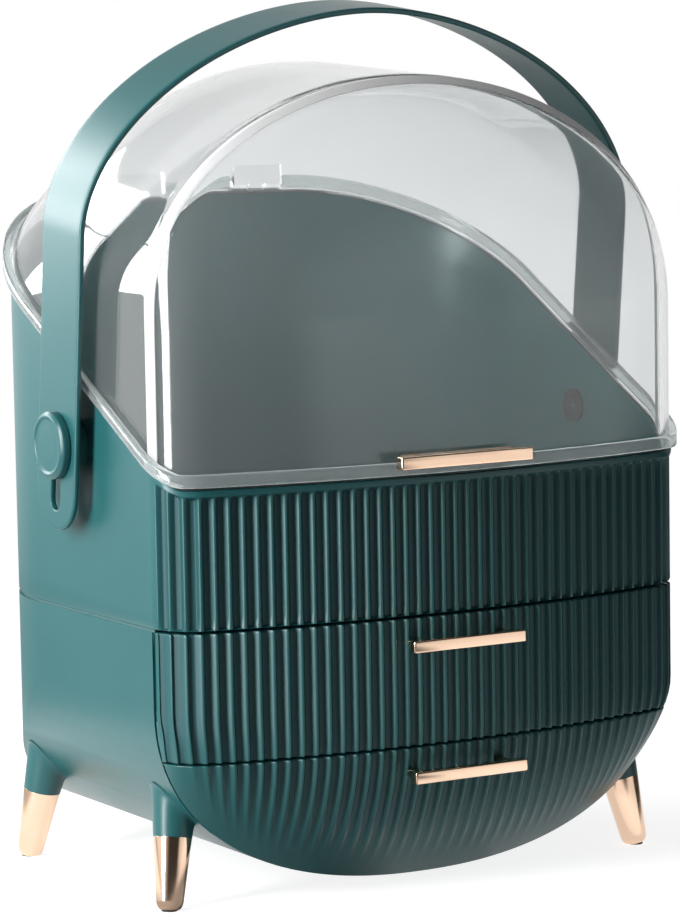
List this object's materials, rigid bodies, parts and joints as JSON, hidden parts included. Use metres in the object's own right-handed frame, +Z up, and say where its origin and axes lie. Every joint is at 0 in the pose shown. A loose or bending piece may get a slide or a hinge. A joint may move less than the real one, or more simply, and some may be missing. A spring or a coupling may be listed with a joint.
{
  "type": "vanity organizer",
  "caption": "Dustproof makeup organizer: a fluted case of drawers on splayed legs, a tray under a clear domed cover hinged at the back, and a lifting carry handle",
  "frame": {"origin": "middle of the footprint, on the floor under the feet", "axes": "+X to the right as the user faces the front, -Y towards the user, +Z up"},
  "size_m": [0.333, 0.28, 0.443],
  "materials": {
    "satin_teal": "satin moulded plastic, dark teal green",
    "plated_gold": "polished rose gold plating",
    "screw_steel": "plain bright steel",
    "black_rubber": "black soft rubber",
    "clear_acrylic": "clear polished acrylic"
  },
  "bodies": {
    "base": {"lower_casing": "satin_teal", "drawer_shelf": "satin_teal", "upper_runners": "black_rubber", "lower_runners": "black_rubber", "tray_body": "satin_teal", "module_screws": "screw_steel", "leg_front_left": "satin_teal", "leg_front_right": "satin_teal", "leg_back_left": "satin_teal", "leg_back_right": "satin_teal", "sleeve_front_left": "plated_gold", "sleeve_front_right": "plated_gold", "sleeve_back_left": "plated_gold", "sleeve_back_right": "plated_gold", "foot_pads": "black_rubber", "leg_screws": "screw_steel", "hinge_pins": "screw_steel", "friction_washers": "black_rubber"},
    "upper_drawer": {"upper_drawer_box": "satin_teal", "upper_drawer_front": "satin_teal", "upper_drawer_pull": "plated_gold", "upper_pull_screws": "screw_steel"},
    "lower_drawer": {"lower_drawer_box": "satin_teal", "lower_drawer_front": "satin_teal", "lower_drawer_pull": "plated_gold", "lower_pull_screws": "screw_steel"},
    "cover": {"cover_shell": "clear_acrylic", "cover_rim": "clear_acrylic", "cover_seal": "black_rubber", "cover_hinges": "clear_acrylic", "cover_pull": "plated_gold"},
    "pivots": {"left_pivot_pin": "screw_steel", "right_pivot_pin": "screw_steel", "left_knob": "satin_teal", "right_knob": "satin_teal", "pivot_retainers": "black_rubber"},
    "handle": {"carry_handle": "satin_teal"}
  },
  "joints": [
    {"name": "upper_drawer_slide", "type": "slide", "parent": "base", "child": "upper_drawer", "axis": [0, -1, 0], "range_m": [0, 0.15]},
    {"name": "lower_drawer_slide", "type": "slide", "parent": "base", "child": "lower_drawer", "axis": [0, -1, 0], "range_m": [0, 0.15]},
    {"name": "cover_open", "type": "hinge", "parent": "base", "child": "cover", "pos_m": [0, 0.1358, 0.33488], "axis": [-1, 0, 0], "range_deg": [0, 44]},
    {"name": "handle_swing", "type": "hinge", "parent": "base", "child": "pivots", "pos_m": [0, -0.012, 0.226], "axis": [-1, 0, 0], "range_deg": [0, 132]},
    {"name": "handle_lift", "type": "slide", "parent": "pivots", "child": "handle", "axis": [0, -0.1045, 0.9945], "range_m": [0, 0.028]}
  ],
  "couplings": [
    {"joint": "handle_swing", "follows": "cover_open", "ratio": 3}
  ]
}
